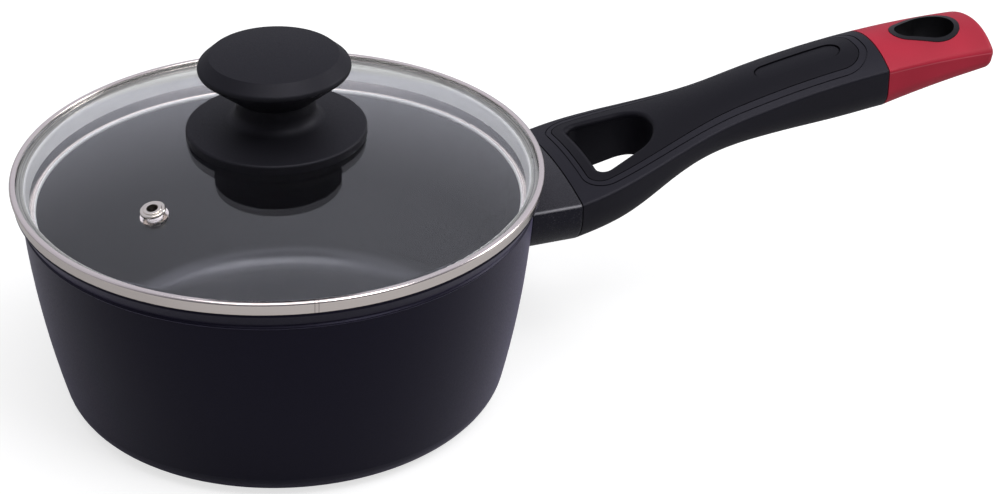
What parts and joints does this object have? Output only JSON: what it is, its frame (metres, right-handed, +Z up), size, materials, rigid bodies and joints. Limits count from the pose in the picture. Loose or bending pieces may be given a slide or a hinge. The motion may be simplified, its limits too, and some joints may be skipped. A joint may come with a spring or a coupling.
{
  "type": "saucepan",
  "caption": "Round non-stick saucepan with a long moulded handle, a red end cap with hanging hole, and a domed glass lid with steel ring, vent and knob.",
  "frame": {"origin": "centre of the pan's base, on the face it stands on", "axes": "+Z up along the pan's axis, +X along the handle away from the pan"},
  "size_m": [0.3297, 0.1676, 0.1182],
  "materials": {
    "pan_lacquer": "satin metallic lacquer outside, dark non-stick coat inside",
    "base_steel": "turned",
    "stud_aluminium": "machined",
    "guard_paint": "metallic paint",
    "grip_plastic": "fine matte",
    "inlay_soft": "soft touch",
    "cap_red": "soft matte",
    "collar_black": "satin",
    "fastener_steel": "zinc plated",
    "clear_glass": "polished",
    "ring_steel": "polished",
    "vent_steel": "polished",
    "knob_plastic": "soft matte",
    "insert_brass": "machined",
    "seal_silicone": "matte"
  },
  "bodies": {
    "pan": {"pan_body": "pan_lacquer", "base_disc": "base_steel", "handle_stud": "stud_aluminium", "flame_guard": "guard_paint", "handle_grip": "grip_plastic", "grip_inlay": "inlay_soft", "end_cap": "cap_red", "hang_eyelet": "collar_black", "handle_screw": "fastener_steel", "lock_washer": "fastener_steel"},
    "lid": {"lid_glass": "clear_glass", "lid_ring": "ring_steel", "vent_eyelet": "vent_steel", "vent_washer": "vent_steel", "lid_knob": "knob_plastic", "knob_insert": "insert_brass", "knob_seal": "seal_silicone", "under_seal": "seal_silicone", "knob_washer": "fastener_steel", "knob_screw": "fastener_steel"}
  },
  "joints": [
    {"name": "lid_lift", "type": "slide", "parent": "pan", "child": "lid", "axis": [0, 0, 1], "range_m": [0, 0.15]}
  ]
}
